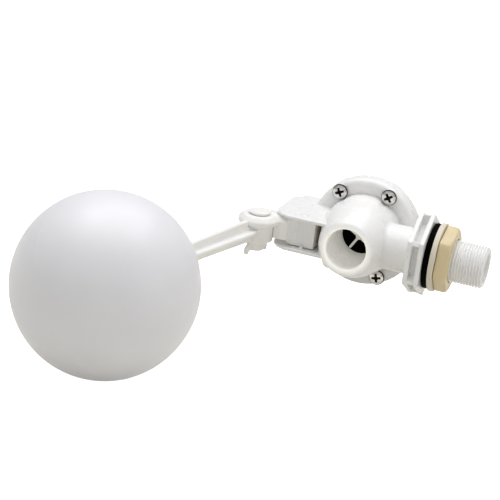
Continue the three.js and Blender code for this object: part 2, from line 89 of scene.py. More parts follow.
GAP = 0.3
BODY_LOW, BODY_HIGH = span("valve_body")
COVER_LOW, COVER_HIGH = span("rear_cover")
LEVER_LOW, LEVER_HIGH = span("lever")
PIVOT = pivot_of("lever_pivot")
KNUCKLE = pivot_of("arm_adjust")
BALL = middle("float_ball")
SHANK = middle("inlet_gasket")
SCREWS = [f"cover_screw_{i}" for i in range(1, 5)]
SCREW_PLACES = [middle(name) for name in SCREWS]

FLANGE_R = COVER_HIGH[X]
PARTING = COVER_LOW[Y] - GAP
COVER_BACK = PARTING + 6
FRONT = PARTING - 6.3
MOUTH = BODY_LOW[Y]
DOME = np.array([0, PARTING - 7, 0])
DOME_R = 25.0
DOME_LONG = 49.5
LIP_ROUND = 1.2
COLLAR_END = span("inlet_gasket")[0][X] - GAP
THREAD_END = BODY_HIGH[X]
SEAT_FACE = PARTING - 10
BALL_R = (span("float_ball")[1] - span("float_ball")[0])[X] / 2


# ---- Distance fields ----
# A field takes points as a 3 x N array and gives each one's distance to a surface, negative inside.
EDGE = 0.45


def meet(a, b):
    """Distance from two faces at right angles, rounded outside their corner."""
    return np.hypot(np.maximum(a, 0), np.maximum(b, 0)) + np.minimum(np.maximum(a, b), 0)


def drum(axis, centre, radius, low, high, edge=EDGE, taper=0.0):
    """A cylinder along an axis; taper is how much the radius grows from low to high."""
    u, v = [i for i in range(3) if i != axis]
    half, mid = (high - low) / 2, (high + low) / 2
    lean = math.cos(math.atan2(taper, high - low))

    def field(p):
        along = p[axis] - mid
        wide = radius + taper * (along / (2 * half) + 0.5)
        out = (np.hypot(p[u] - centre[u], p[v] - centre[v]) - wide) * lean + edge
        return meet(out, np.abs(along) - half + edge) - edge

    return field


def sphere(centre, radius):
    def field(p):
        return np.sqrt(sum((p[i] - centre[i]) ** 2 for i in range(3))) - radius

    return field


def box(low, high, edge=EDGE):
    centre = [(a + b) / 2 for a, b in zip(low, high)]
    half = [(b - a) / 2 - edge for a, b in zip(low, high)]

    def field(p):
        away = [np.abs(p[i] - centre[i]) - half[i] for i in range(3)]
        out = np.sqrt(sum(np.maximum(a, 0) ** 2 for a in away))
        return out + np.minimum(np.maximum(np.maximum(away[0], away[1]), away[2]), 0) - edge

    return field


def inset(outline, by):
    """The outline moved inwards by a distance; its points run anticlockwise."""
    points = np.array(outline, float)
    ahead = np.roll(points, -1, axis=0) - points
    ahead /= np.linalg.norm(ahead, axis=1)[:, None]
    inward = np.stack([-ahead[:, 1], ahead[:, 0]], axis=1)
    moved = []
    for i in range(len(points)):
        before = inward[i - 1]
        after = inward[i]
        moved.append(points[i] + by * (before + after) / (1 + before @ after))
    return np.array(moved)


def outline_distance(outline, a, b):
    """Distance in a plane to a closed outline, negative inside."""
    nearest = np.full(a.shape, 1e9, a.dtype)
    inside = np.zeros(a.shape, bool)
    for (ax, ay), (bx, by) in zip(outline, np.roll(outline, -1, axis=0)):
        ex, ey = bx - ax, by - ay
        wx, wy = a - ax, b - ay
        share = np.clip((wx * ex + wy * ey) / (ex * ex + ey * ey), 0, 1)
        nearest = np.minimum(nearest, (wx - ex * share) ** 2 + (wy - ey * share) ** 2)
        crosses = (wy >= 0) != (b - by >= 0)
        if ey != 0:
            inside ^= crosses & (wx < wy * ex / ey)
    return np.where(inside, -1, 1) * np.sqrt(nearest)


def prism(axis, outline, low, high, corner=1.0, edge=EDGE):
    """An outline in the two other axes, raised along axis, with rounded corners and edges."""
    u, v = [i for i in range(3) if i != axis]
    core = inset(outline, corner)

    def field(p):
        side = outline_distance(core, p[u], p[v]) - corner + edge
        return meet(side, np.abs(p[axis] - (low + high) / 2) - (high - low) / 2 + edge) - edge

    return field


def hexagon(radius, centre=(0, 0), turn=90):
    """Corners of a hexagon, with its first corner at turn degrees."""
    angles = np.radians(turn + 60 * np.arange(6))
    return [(centre[0] + radius * math.cos(a), centre[1] + radius * math.sin(a)) for a in angles]


def turned_about(axis, degrees, centre, field):
    """The field turned about an axis through centre."""
    u, v = [(Y, Z), (Z, X), (X, Y)][axis]
    c, s = math.cos(math.radians(degrees)), math.sin(math.radians(degrees))

    def turned(p):
        q = p.copy()
        a, b = p[u] - centre[u], p[v] - centre[v]
        q[u] = centre[u] + c * a + s * b
        q[v] = centre[v] - s * a + c * b
        return field(q)

    return turned


def least(a, b, fillet):
    """The smaller of two distances, with a fillet where they meet."""
    hollow = np.hypot(np.maximum(fillet - a, 0), np.maximum(fillet - b, 0))
    return np.maximum(fillet, np.minimum(a, b)) - hollow


def joined(*fields, fillet=0.6):
    def field(p):
        total = fields[0](p)
        for other in fields[1:]:
            total = least(total, other(p), fillet)
        return total

    return field


def cut(base, *tools, edge=0.3):
    def field(p):
        total = base(p)
        for tool in tools:
            total = -least(-total, tool(p), edge)
        return total

    return field


def common(*fields, edge=0.3):
    def field(p):
        total = fields[0](p)
        for other in fields[1:]:
            total = -least(-total, -other(p), edge)
        return total

    return field


# ---- Skinning a field ----
BLOCK = 8
BATCH = 300
SETTLES = 3


def sampled(field, low, step, counts):
    """The field on a grid, worked out exactly only in the blocks that the surface may pass."""
    blocks = np.stack(np.meshgrid(*[np.arange(n) for n in counts], indexing="ij"), -1).reshape(-1, 3)
    wide = step * BLOCK
    far = field((low + (blocks + 0.5) * wide).T)
    grid = np.pad(np.sign(far).reshape(counts), ((0, 1),) * 3, mode="edge")
    for axis in range(3):
        grid = np.repeat(grid, BLOCK, axis=axis)
    grid = grid[tuple(slice(0, n * BLOCK + 1) for n in counts)].astype(np.float32)
    near = blocks[np.abs(far) < wide * 1.3 * math.sqrt(3) / 2 + step]
    inner = np.stack(np.meshgrid(*[np.arange(BLOCK + 1)] * 3, indexing="ij"), -1).reshape(-1, 3)
    for start in range(0, len(near), BATCH):
        some = near[start : start + BATCH]
        points = low + (some[:, None, :] * BLOCK + inner[None]) * step
        values = field(points.reshape(-1, 3).T).reshape(len(some), *(BLOCK + 1,) * 3)
        for (i, j, k), value in zip(some * BLOCK, values):
            grid[i : i + BLOCK + 1, j : j + BLOCK + 1, k : k + BLOCK + 1] = value
    return grid


def net(grid, low, step):
    """One vertex in each cell that the surface passes through, and one quad across each crossed edge."""
    inside = grid < 0
    corners = np.stack(np.meshgrid([0, 1], [0, 1], [0, 1], indexing="ij"), -1).reshape(-1, 3)
    shape = np.array(grid.shape) - 1
    held = np.zeros(shape, np.int8)
    for corner in corners:
        held += inside[tuple(slice(c, c + n) for c, n in zip(corner, shape))]
    mixed = (held > 0) & (held < 8)
    cells = np.argwhere(mixed)
    number = np.full(shape, -1, np.int64)
    number[mixed] = np.arange(len(cells))
    total = np.zeros((len(cells), 3))
    hits = np.zeros(len(cells))
    for corner in corners:
        for axis in np.flatnonzero(corner == 0):
            end = corner + np.eye(3, dtype=int)[axis]
            a = grid[tuple((cells + corner).T)]
            b = grid[tuple((cells + end).T)]
            crossed = (a < 0) != (b < 0)
            share = np.where(crossed, a / np.where(crossed, a - b, 1), 0)
            total += crossed[:, None] * (corner + share[:, None] * (end - corner))
            hits += crossed
    points = low + (cells + total / hits[:, None]) * step
    faces = []
    for axis in range(3):
        u, v = [(Y, Z), (Z, X), (X, Y)][axis]
        ahead = np.eye(3, dtype=int)[axis]
        first = [slice(1, n) for n in shape]
        first[axis] = slice(0, shape[axis])
        here = inside[tuple(first)]
        there = inside[tuple(slice(s.start + a, s.stop + a) for s, a in zip(first, ahead))]
        for leaving in (True, False):
            at = np.argwhere((here == leaving) & (there != leaving)) + [s.start for s in first]
            back_u, back_v = np.eye(3, dtype=int)[u], np.eye(3, dtype=int)[v]
            ring = [at, at - back_u, at - back_u - back_v, at - back_v]
            quad = np.stack([number[tuple(c.T)] for c in ring], axis=1)
            faces.append(quad if leaving else quad[:, ::-1])
    return points, np.concatenate(faces)


def slope(field, points, reach):
    """The field and its gradient at points, an N x 3 array."""
    gradient = np.empty_like(points)
    for axis in range(3):
        step = np.zeros(3)
        step[axis] = reach
        gradient[:, axis] = (field((points + step).T) - field((points - step).T)) / (2 * reach)
    return field(points.T), gradient


def relaxed(points, faces):
    """Each point moved half way to the mean of its faces' middles."""
    middles = points[faces].mean(axis=1)
    count = np.bincount(faces.ravel(), minlength=len(points))
    mean = np.empty_like(points)
    for axis in range(3):
        weights = np.repeat(middles[:, axis], 4)
        mean[:, axis] = np.bincount(faces.ravel(), weights, len(points)) / count
    return (points + mean) / 2


def skin(field, low, high, step):
    """Points, quads and normals of a field's surface inside a box."""
    step = step * COARSE
    low = np.array(low, float) - 2 * step
    counts = np.ceil((np.array(high) + 2 * step - low) / (step * BLOCK)).astype(int)
    points, faces = net(sampled(field, low, step, counts), low, step)
    for _ in range(SETTLES):
        points = relaxed(points, faces)
        value, gradient = slope(field, points, step / 8)
        length = np.maximum((gradient**2).sum(axis=1), 0.2)
        move = -(value / length)[:, None] * gradient
        points += np.clip(move, -step, step)
    return points, faces, slope(field, points, step / 4)[1]


# ---- Pieces ----
def piece(name, points, faces, body, material, slot, nodes=(), normals=None, sharp=None, place=None):
    """A finished mesh from points in millimetres, riding on a body and standing for CAD nodes."""
    mesh = bpy.data.meshes.new(name)
    where = np.asarray(points, float)
    if place is not None:
        where = where @ np.array(place.to_3x3()).T + np.array(place.translation)
    mesh.from_pydata(where * MM, [], faces if isinstance(faces, list) else faces.tolist())
    mesh.shade_smooth()
    if sharp is not None:
        mesh.set_sharp_from_angle(angle=math.radians(sharp))
    if normals is not None:
        turned = normals if place is None else normals @ np.array(place.to_3x3()).T
        unit = turned / np.maximum(np.linalg.norm(turned, axis=1), 1e-9)[:, None]
        mesh.normals_split_custom_set_from_vertices(unit.tolist())
    for each in material if isinstance(material, list) else [material]:
        mesh.materials.append(each)
    made = bpy.data.objects.new(name, mesh)
    bpy.context.scene.collection.objects.link(made)
    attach(made, body)
    if nodes:
        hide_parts(*nodes)
    return made


def moulded(name, field, low, high, step, body, material, slot, place=None):
    """A piece skinned from a field, standing for the CAD node of the same name."""
    points, faces, normals = skin(field, low, high, step)
    piece(name, points, faces, body, material, slot, [name], normals, place=place)


ROUND_STEPS = 4


def softened(profile, radius):
    """A profile with every corner rounded, as far as its neighbours leave room."""
    points = np.array(profile, float)
    rounded = []
    for i, corner in enumerate(points):
        to_last = points[i - 1] - corner
        to_next = points[(i + 1) % len(points)] - corner
        last, after = np.linalg.norm(to_last), np.linalg.norm(to_next)
        if corner[0] < 1e-6:
            rounded.append(corner)
            continue
        reach = min(radius, 0.45 * last, 0.45 * after)
        a, b = corner + to_last / last * reach, corner + to_next / after * reach
        for t in np.linspace(0, 1, ROUND_STEPS + 1):
            rounded.append((1 - t) ** 2 * a + 2 * t * (1 - t) * corner + t**2 * b)
    return np.array(rounded)


def lathe(profile, facets, closed):
    """Points and faces of [radius, along] pairs swept round the +X axis; a closed profile is a ring."""
    points, faces, rows = [], [], []
    for radius, along in profile:
        if radius < 1e-6:
            rows.append([len(points)])
            points.append((along, 0, 0))
            continue
        rows.append(list(range(len(points), len(points) + facets)))
        for i in range(facets):
            angle = 2 * math.pi * i / facets
            points.append((along, radius * math.cos(angle), radius * math.sin(angle)))
    pairs = list(zip(rows, rows[1:] + rows[:1])) if closed else list(zip(rows, rows[1:]))
    for low, high in pairs:
        for i in range(facets):
            j = (i + 1) % facets
            ring = [low[i % len(low)], low[j % len(low)], high[j % len(high)], high[i % len(high)]]
            faces.append(list(dict.fromkeys(ring)))
    return np.array(points), faces


def axis_frame(axis, centre):
    """Carries +X to an axis and the origin to a place."""
    turn = {X: Matrix(), Y: Matrix.Rotation(math.pi / 2, 4, "Z"), Z: Matrix.Rotation(-math.pi / 2, 4, "Y")}
    return Matrix.Translation(Vector(centre)) @ turn[axis]


# ---- Materials ----
def noise(tree, scale, detail=3.0, roughness=0.5):
    """Noise in the piece's own space; scale is in cycles per metre."""
    node = tree.nodes.new("ShaderNodeTexNoise")
    node.inputs["Scale"].default_value = scale
    node.inputs["Detail"].default_value = detail
    node.inputs["Roughness"].default_value = roughness
    place = tree.nodes.new("ShaderNodeTexCoord")
    tree.links.new(place.outputs["Object"], node.inputs["Vector"])
    return node.outputs["Fac"]


def ranged(tree, value, low, high, start=0.3, stop=0.7):
    """The value spread from low to high."""
    node = tree.nodes.new("ShaderNodeMapRange")
    node.inputs["From Min"].default_value = start
    node.inputs["From Max"].default_value = stop
    node.inputs["To Min"].default_value = low
    node.inputs["To Max"].default_value = high
    tree.links.new(value, node.inputs["Value"])
    return node.outputs["Result"]


def mixed(tree, share, first, second):
    node = tree.nodes.new("ShaderNodeMix")
    node.data_type = "RGBA"
    node.inputs["A"].default_value = (*first, 1)
    node.inputs["B"].default_value = (*second, 1)
    tree.links.new(share, node.inputs["Factor"])
    return node.outputs["Result"]


def bumped(tree, height, depth, normal=None):
    """A bump whose full height is depth millimetres."""
    node = tree.nodes.new("ShaderNodeBump")
    node.inputs["Distance"].default_value = depth * MM
    tree.links.new(height, node.inputs["Height"])
    if normal is not None:
        tree.links.new(normal, node.inputs["Normal"])
    return node.outputs["Normal"]


def plain(name, roughness):
    material = bpy.data.materials.new(name)
    material.use_nodes = True
    shader = material.node_tree.nodes["Principled BSDF"]
    shader.inputs["Roughness"].default_value = roughness
    return material, material.node_tree, shader


SINK_DEEP = 0.02
GRAIN_DEEP = 0.006
SCATTER = 1.5  # how far light travels under the skin of the plastic


def plastic(name, light, dark, roughness, glow, reach, grain=GRAIN_DEEP):
    """Moulded plastic: faint flow marks in its colour and gloss, a fine skin, and light under the surface."""
    material, tree, shader = plain(name, roughness)
    flow = noise(tree, 45, 4, 0.6)
    tree.links.new(mixed(tree, ranged(tree, flow, 0, 1), light, dark), shader.inputs["Base Color"])
    polish = noise(tree, 110, 2)
    rough = ranged(tree, polish, roughness - 0.02, roughness + 0.03)
    tree.links.new(rough, shader.inputs["Roughness"])
    sink = bumped(tree, noise(tree, 60, 1), SINK_DEEP)
    skin_grain = bumped(tree, noise(tree, 2600, 2), grain, sink)
    tree.links.new(skin_grain, shader.inputs["Normal"])
    shader.inputs["Subsurface Weight"].default_value = glow
    shader.inputs["Subsurface Radius"].default_value = reach
    shader.inputs["Subsurface Scale"].default_value = SCATTER * MM
    return material


# Painted glow: emission on the outlet's lip and bore, standing in for light through its thin wall.
LIP_GLOW = 0.3
BORE_GLOW = 0.115
LIP_DEEP = 4  # from the mouth to where the lip's glow has fallen to the bore's
GLOW_FULL_R = 13.6
GLOW_END_R = 17.2


def painted_outlet_glow(material, colour):
    """Paints a glow onto the outlet as emission, most of it at the lip, standing in for light through its
    thin wall.
    """
    tree = material.node_tree
    shader = tree.nodes["Principled BSDF"]
    place = tree.nodes.new("ShaderNodeTexCoord")
    split = tree.nodes.new("ShaderNodeSeparateXYZ")
    tree.links.new(place.outputs["Object"], split.inputs[0])
    flat = tree.nodes.new("ShaderNodeCombineXYZ")
    tree.links.new(split.outputs["X"], flat.inputs["X"])
    tree.links.new(split.outputs["Z"], flat.inputs["Z"])
    radius = tree.nodes.new("ShaderNodeVectorMath")
    radius.operation = "LENGTH"
    tree.links.new(flat.outputs["Vector"], radius.inputs[0])
    near_axis = ranged(tree, radius.outputs["Value"], 1, 0, GLOW_FULL_R * MM, GLOW_END_R * MM)
    near_lip = ranged(tree, split.outputs["Y"], LIP_GLOW, BORE_GLOW, MOUTH * MM, (MOUTH + LIP_DEEP) * MM)
    glow = tree.nodes.new("ShaderNodeMath")
    glow.operation = "MULTIPLY"
    tree.links.new(near_axis, glow.inputs[0])
    tree.links.new(near_lip, glow.inputs[1])
    tree.links.new(glow.outputs["Value"], shader.inputs["Emission Strength"])
    shader.inputs["Emission Color"].default_value = (*colour, 1)


def rubber(name, light, dark):
    """Moulded rubber, or the painted shade and dark reflection on the screws: a faint bloom in its colour and
    gloss, and a fine grain.
    """
    material, tree, shader = plain(name, 0.55)
    shader.inputs["Specular IOR Level"].default_value = 0.015
    bloom = noise(tree, 140, 5, 0.6)
    tree.links.new(mixed(tree, ranged(tree, bloom, 0, 1), dark, light), shader.inputs["Base Color"])
    tree.links.new(ranged(tree, bloom, 0.45, 0.65), shader.inputs["Roughness"])
    tree.links.new(bumped(tree, noise(tree, 1800, 3), 0.02), shader.inputs["Normal"])
    return material


def metal(name, light, dark, roughness):
    """Polished metal: faint stains in its colour, uneven gloss and a fine grain."""
    material, tree, shader = plain(name, roughness)
    shader.inputs["Metallic"].default_value = 1
    stain = noise(tree, 420, 4, 0.6)
    tree.links.new(mixed(tree, ranged(tree, stain, 0, 1), light, dark), shader.inputs["Base Color"])
    tree.links.new(ranged(tree, noise(tree, 900, 4), roughness, roughness + 0.12), shader.inputs["Roughness"])
    tree.links.new(bumped(tree, noise(tree, 2400, 2), 0.004), shader.inputs["Normal"])
    return material


WARM_REACH = (1.0, 0.85, 0.6)
EVEN_REACH = (1.0, 0.95, 0.9)
BODY_LOOK = ((0.90, 0.895, 0.885), (0.885, 0.885, 0.875), 0.27, 0.05, WARM_REACH, 0.003)
BODY_WHITE = plastic("body_white", *BODY_LOOK)
OUTLET_WHITE = plastic("outlet_white", *BODY_LOOK)
# painted glow on the outlet's lip and bore
painted_outlet_glow(OUTLET_WHITE, (1.0, 0.98, 0.86))
ARM_WHITE = plastic("arm_white", (0.93, 0.925, 0.90), (0.90, 0.89, 0.865), 0.34, 0.3, WARM_REACH)
BALL_WHITE = plastic("ball_white", (0.86, 0.86, 0.885), (0.84, 0.84, 0.87), 0.36, 0.2, EVEN_REACH, 0.008)
NUT_CREAM = plastic("nut_cream", (0.75, 0.63, 0.385), (0.71, 0.59, 0.355), 0.34, 0.35, (1.0, 0.6, 0.25))
WASHER_PALE = plastic("washer_pale", (0.75, 0.70, 0.58), (0.72, 0.67, 0.55), 0.42, 0.3, WARM_REACH)
RUBBER_BLACK = rubber("rubber_black", (0.002, 0.002, 0.0022), (0.001, 0.001, 0.001))
RUBBER_BROWN = rubber("rubber_brown", (0.50, 0.40, 0.30), (0.40, 0.32, 0.23))
STEEL = metal("stainless", (0.78, 0.76, 0.73), (0.62, 0.60, 0.58), 0.14)
# Painted shade for the screws' cross recess and a painted dark reflection for the side of their heads.
STEEL_PAINTED_SHADE = rubber("stainless_painted_shade", (0.02, 0.018, 0.016), (0.01, 0.009, 0.008))
BRASS = metal("brass", (0.80, 0.60, 0.28), (0.66, 0.47, 0.2), 0.24)


# ---- Valve body ----
OUTLET_BORE = 12.65
SEAT_BORE = 12.1
SEAT_TUBE_R = 14.2
RING_R = 22.0
SHANK_R = 14.5
INLET_BORE = 9.0
COLLAR_LONG = 9.9
COLLAR_R = 26.7
COLLAR_PLATE = 2.9
SCREW_HEAD_R = 5.0
SCREW_HOLE_R = 2.7
PIN_HOLE_R = 2.3
BEAD_GROOVE_R = 27.3
COLLAR_CORE = 0.74  # size of the collar's core, as a share of its plates
COLLAR_RIB_HALF = 1.5
PAST = 3  # how far a cutting tool runs past a face
WELL_PAST = 9
THROUGH = 20  # half length of a drill along Z, longer than any piece
FAR = 60  # beyond the body on every side
CLEVIS_IN = 9.3
CLEVIS_OUT = 11.4
PILOT_X = -19.6
CROWN_Q = 31.0  # where the flange ring stands highest
CROWN_R = 12.0  # radius of the ring's crown towards the dome
RIM_R = 4.0


def flange():
    """The crowned ring that the cover is screwed to."""
    def field(p):
        q = np.hypot(p[X], p[Z])
        fall = np.maximum(CROWN_Q - np.maximum(q, DOME_R - 1), 0) ** 2 / (2 * CROWN_R)
        front = (FRONT + RIM_R - p[Y]) + fall
        ring = meet(q - (FLANGE_R - RIM_R), front) - RIM_R
        return -least(-ring, PARTING - p[Y] + 0 * q, 0.3)

    return field


def collar():
    """The hexagon collar: two plates on a smaller core, with a rib at each corner."""
    start = COLLAR_END - COLLAR_LONG
    centre = (SHANK[Y], SHANK[Z])
    plates = [
        prism(X, hexagon(COLLAR_R, centre), a, a + COLLAR_PLATE, corner=0.9, edge=0.5)
        for a in (start, COLLAR_END - COLLAR_PLATE)
    ]
    core = prism(X, hexagon(COLLAR_R * COLLAR_CORE, centre), start + 1, COLLAR_END - 1, corner=1.5)
    rib_low = (start + 1, SHANK[Y] - COLLAR_RIB_HALF, 0)
    rib = box(rib_low, (COLLAR_END - 1, SHANK[Y] + COLLAR_RIB_HALF, COLLAR_R - 1.2))
    ribs = [turned_about(X, 60 * i, SHANK, rib) for i in range(6)]
    return joined(*plates, core, *ribs, fillet=0.5)


def clevis_outline():
    """The clevis plates from above, with the chamfers of their front left and the step of their back left."""
    left, back, front = BODY_LOW[X], BODY_HIGH[Y], PIVOT[Y] - 6
    root = -16  # inside the wall of the dome
    beside = -30  # inner end of the stretch that reaches back beside the cover
    return [
        (root, front),
        (root, PARTING - 1),
        (beside, PARTING - 1),
        (beside, back),
        (left + 6.4, back), (left + 5.7, back - 5.2), (left, back - 8),
        (left, front + 13), (left + 2, front + 6.5), (left + 5.4, front + 2.2), (left + 9.5, front),
    ]


def clevis():
    """Two plates, the block that carries the nozzle between them, and a stop peg on the lower plate."""
    outline = clevis_outline()[::-1]
    plates = [prism(Z, outline, *heights, corner=1.0, edge=0.6)
              for heights in ((CLEVIS_IN, CLEVIS_OUT), (-CLEVIS_OUT, -CLEVIS_IN))]
    pilot = box((PILOT_X, PIVOT[Y] - 5.2, -CLEVIS_OUT), (-12, DOME[Y] - 11, CLEVIS_OUT), 0.7)
    peg = drum(Z, (PIVOT[X] + 1.5, PIVOT[Y] - 4.7, 0), 1.2, -CLEVIS_IN - 1, -7.4, 0.35)
    whole = joined(*plates, pilot, peg, fillet=0.6)
    return cut(whole, drum(Y, DOME, FLANGE_R + 0.6, PARTING, BODY_HIGH[Y] + 2))


def dome():
    """A long ellipsoid that narrows to the outlet and is cut off square there."""
    def field(p):
        along = p[Y] - DOME[Y]
        aside = p[X] ** 2 + p[Z] ** 2
        size = np.sqrt(aside / DOME_R**2 + (along / DOME_LONG) ** 2)
        steep = np.sqrt(aside / DOME_R**4 + along**2 / DOME_LONG**4)
        return (size - 1) * size / np.maximum(steep, 1e-4)

    return common(field, box((-FAR, MOUTH, -FAR), (FAR, PARTING, FAR), 0), edge=LIP_ROUND)


def body_outside():
    """Everything that the body is built up from, before it is hollowed."""
    shank = drum(X, SHANK, SHANK_R, 2, COLLAR_END - COLLAR_LONG + 1)
    towers = [drum(Y, place, SCREW_HEAD_R - 0.5, FRONT - 0.1, PARTING - 1, 0.3) for place in SCREW_PLACES]
    vessel = joined(dome(), shank, fillet=1.5)
    return joined(vessel, joined(flange(), *towers, fillet=0.5), collar(), clevis(), fillet=0.9)


def body_inside():
    """Everything that is cut out of the body."""
    seat = drum(Y, DOME, SEAT_BORE, MOUTH, PARTING + PAST, 0)
    over_seat = drum(Y, DOME, RING_R, SEAT_FACE, PARTING + PAST, 0.5)
    ring = cut(
        common(sphere(DOME, RING_R), box((-FAR, -FAR, -FAR), (FAR, PARTING + PAST, FAR), 0)),
        drum(Y, DOME, SEAT_TUBE_R, MOUTH - WELL_PAST, PARTING + PAST, 0),
    )
    inlet = cut(
        drum(X, SHANK, INLET_BORE, SEAT_TUBE_R, THREAD_END + WELL_PAST, 0),
        drum(Y, DOME, SEAT_TUBE_R, MOUTH - WELL_PAST, PARTING + PAST, 0),
    )
    half = LEVER_HIGH[Z]
    recess = box((-28, PIVOT[Y] - 8, -half), (PILOT_X + 0.6, DOME[Y] - 7, half), 0.3)
    holes = [drum(Y, place, SCREW_HOLE_R, FRONT - WELL_PAST, PARTING + PAST, 0) for place in SCREW_PLACES]
    pin = drum(Z, PIVOT, PIN_HOLE_R, -THROUGH, THROUGH, 0)
    nozzle_end = span("pilot_nozzle")[1][X] + GAP
    nozzle = drum(X, middle("pilot_nozzle"), PIN_HOLE_R, PILOT_X - 1, nozzle_end, 0)
    return seat, over_seat, ring, inlet, recess, pin, nozzle, *holes


def valve_body():
    """The vessel with its flange, shank, collar and clevis, hollowed and bored."""
    seat_room = (FRONT - WELL_PAST, FRONT - 0.1)
    heads = [drum(Y, place, SCREW_HEAD_R + 0.6, *seat_room, 0.3) for place in SCREW_PLACES]
    groove = drum(Y, DOME, BEAD_GROOVE_R, PARTING - 1.8, PARTING + PAST, 0.2)
    bore = drum(Y, DOME, OUTLET_BORE + 0.3, MOUTH - WELL_PAST, SEAT_FACE - 0.3, 0, taper=-0.85)
    bored = cut(body_outside(), bore, edge=LIP_ROUND)
    field = cut(bored, *body_inside(), groove, *heads)
    high = (COLLAR_END, BODY_HIGH[Y], FLANGE_R)
    moulded("valve_body", field, BODY_LOW, high, 0.5, "valve", OUTLET_WHITE, "body_white")


THREAD_PITCH = 1.814
THREAD_DEEP = 1.162
THREAD_R = 13.22


def inlet_thread():
    """The male pipe thread: one helix with the rounded Whitworth form, on a bored tube."""
    start, facets = COLLAR_END - 0.2, 144
    rows = int((THREAD_END - start) / (THREAD_PITCH / 14))
    turns = np.arange(facets) / facets
    ring = []
    for along in np.linspace(start, THREAD_END, rows):
        form = 0.5 - 0.5 * np.cos(2 * math.pi * ((along - start) / THREAD_PITCH - turns))
        ends = min(1, (along - start) / 2)
        chamfer = THREAD_R - 1.5 + (THREAD_END - along) * 1.1
        ring.append((along, np.minimum(THREAD_R - THREAD_DEEP * form * ends, chamfer)))
    for radius, along in [(10.4, THREAD_END), (INLET_BORE + 0.6, THREAD_END), (INLET_BORE, THREAD_END - 0.6),
                          (INLET_BORE, start)]:
        ring.append((along, np.full(facets, radius)))
    points = []
    for along, radii in ring:
        for turn, radius in zip(turns, radii):
            angle = 2 * math.pi * turn
            points.append((along, SHANK[Y] + radius * math.cos(angle), radius * math.sin(angle)))
    faces = []
    for i in range(len(ring)):
        a, b = i * facets, ((i + 1) % len(ring)) * facets
        faces += [[a + j, a + (j + 1) % facets, b + (j + 1) % facets, b + j] for j in range(facets)]
    piece("inlet_thread", points, faces, "valve", BODY_WHITE, "body_white", sharp=50)


# ---- Cover and fasteners ----
NUT_R = 4.6
NUT_HALF = 1.2
POCKET_DEEP = 2.7


def rear_cover():
    """A flanged cap with a ring and spokes on its crown, a pad, and a nut tower at each screw."""
    crown = COVER_BACK + 8.5
    flat = drum(Y, DOME, FLANGE_R, PARTING + GAP, COVER_BACK, 0.9)
    hat = drum(Y, DOME, 24.2, COVER_BACK - 3, COVER_BACK + 8, 3.2, taper=-2.4)
    ring = drum(Y, DOME, 15, COVER_BACK + 4, crown, 0.4)
    ring = cut(ring, drum(Y, DOME, 13.4, COVER_BACK + 3, COVER_BACK + 12, 0))
    pad = drum(Y, DOME, 7, COVER_BACK + 4, COVER_HIGH[Y], 0.5)
    rib = box((-21, COVER_BACK + 4, -0.9), (21, crown, 0.9), 0.4)
    ribs = [turned_about(Y, 45 * i, DOME, rib) for i in range(4)]
    towers = [drum(Y, place, 6.4, PARTING + 2, COVER_BACK + 0.6, 0.4) for place in SCREW_PLACES]
    whole = joined(joined(flat, hat, fillet=2.0), joined(ring, pad, *ribs, fillet=0.4), *towers, fillet=0.6)
    whole = common(whole, drum(Y, DOME, FLANGE_R, PARTING + GAP, COVER_HIGH[Y], 0.5))
    chamber = drum(Y, DOME, 21, PARTING - PAST, COVER_BACK + 5.5, 2)
    groove = drum(Y, DOME, BEAD_GROOVE_R, PARTING - PAST, PARTING + 1.8, 0.2)
    holes = [drum(Y, place, SCREW_HOLE_R, PARTING - PAST, COVER_BACK + PAST, 0) for place in SCREW_PLACES]
    pocket = (COVER_BACK - POCKET_DEEP, COVER_BACK + PAST)
    pockets = [
        prism(Y, hexagon(NUT_R + GAP, (place[X], place[Z])), *pocket, corner=0.3, edge=0.1)
        for place in SCREW_PLACES
    ]
    field = cut(whole, chamber, groove, *holes, *pockets)
    moulded("rear_cover", field, COVER_LOW, COVER_HIGH, 0.5, "valve", BODY_WHITE, "body_white")


HEAD_LONG = 2.6
HEAD_DOME_R = 9.0
RECESS_R = 3.4
SLOT_HALF = 0.75
RECESS_TURNS = [32, 24, 40, 12]  # degrees, as each screw happened to stop


def screw_field():
    """A pan head screw with a cross recess, standing on the +X axis; its head is above X = 0."""
    head = drum(X, (0, 0, 0), SCREW_HEAD_R, 0, HEAD_LONG, 0.55)
    dome = sphere((HEAD_LONG - HEAD_DOME_R, 0, 0), HEAD_DOME_R)
    head = common(head, dome, edge=0.5)
    shank = drum(X, (0, 0, 0), 2.4, -14.5, 0.5, 0.5)
    wings = [
        box((HEAD_LONG - 1.9, -a, -b), (HEAD_LONG + 1, a, b), 0.2)
        for a, b in ((RECESS_R, SLOT_HALF), (SLOT_HALF, RECESS_R))
    ]
    star = joined(*wings, drum(X, (0, 0, 0), 1.2, HEAD_LONG - 2.1, HEAD_LONG + 1, 0.2), fillet=0.4)
    funnel = drum(X, (0, 0, 0), 1.6, HEAD_LONG - 2.1, HEAD_LONG + 0.2, 0.1, taper=2.2)
    return cut(joined(head, shank, fillet=0.3), common(star, funnel, edge=0.1), edge=0.12)


